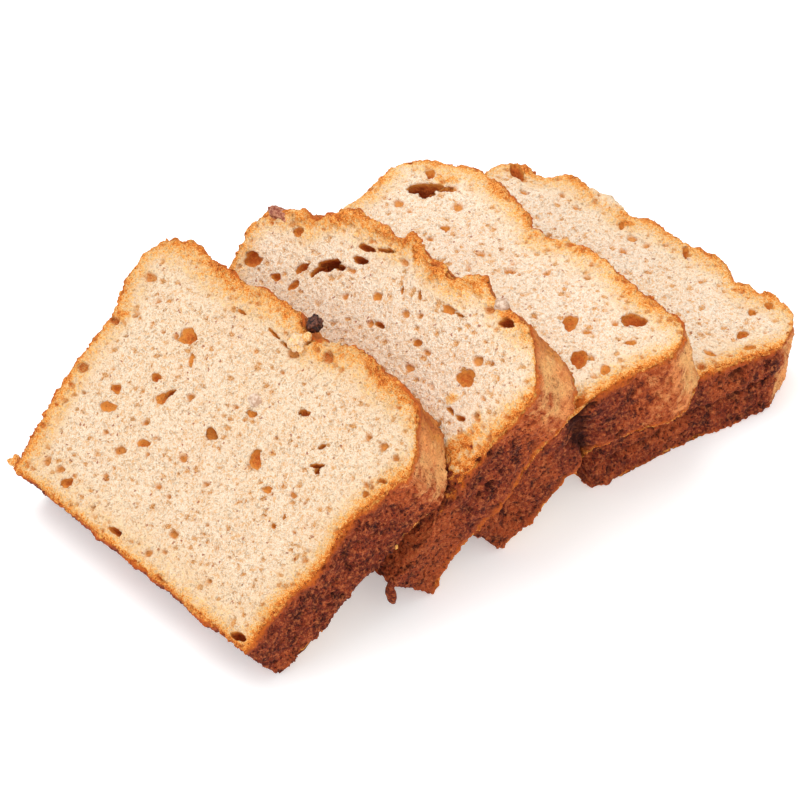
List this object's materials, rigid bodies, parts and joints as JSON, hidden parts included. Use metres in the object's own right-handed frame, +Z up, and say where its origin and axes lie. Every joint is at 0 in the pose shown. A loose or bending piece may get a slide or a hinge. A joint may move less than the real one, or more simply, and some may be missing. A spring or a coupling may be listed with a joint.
{
  "type": "banana bread slices",
  "caption": "Hand-cut slices of banana bread, slumped in a row as the loaf opened, with golden crumb and dark crust.",
  "frame": {"origin": "middle of the row's box, on the surface that the slices stand on", "axes": "+X across the slices towards the side whose crust shows, +Y along the row from the steepest slice to the one lying flat, +Z up"},
  "size_m": [0.1227, 0.2127, 0.0766],
  "materials": {
    "bread": "matte food surface: moist cream crumb with fine pores, golden rim, brown pitted crust"
  },
  "bodies": {
    "root": {"slice_1": "bread", "slice_2": "bread", "slice_3": "bread", "slice_4": "bread"}
  },
  "joints": []
}
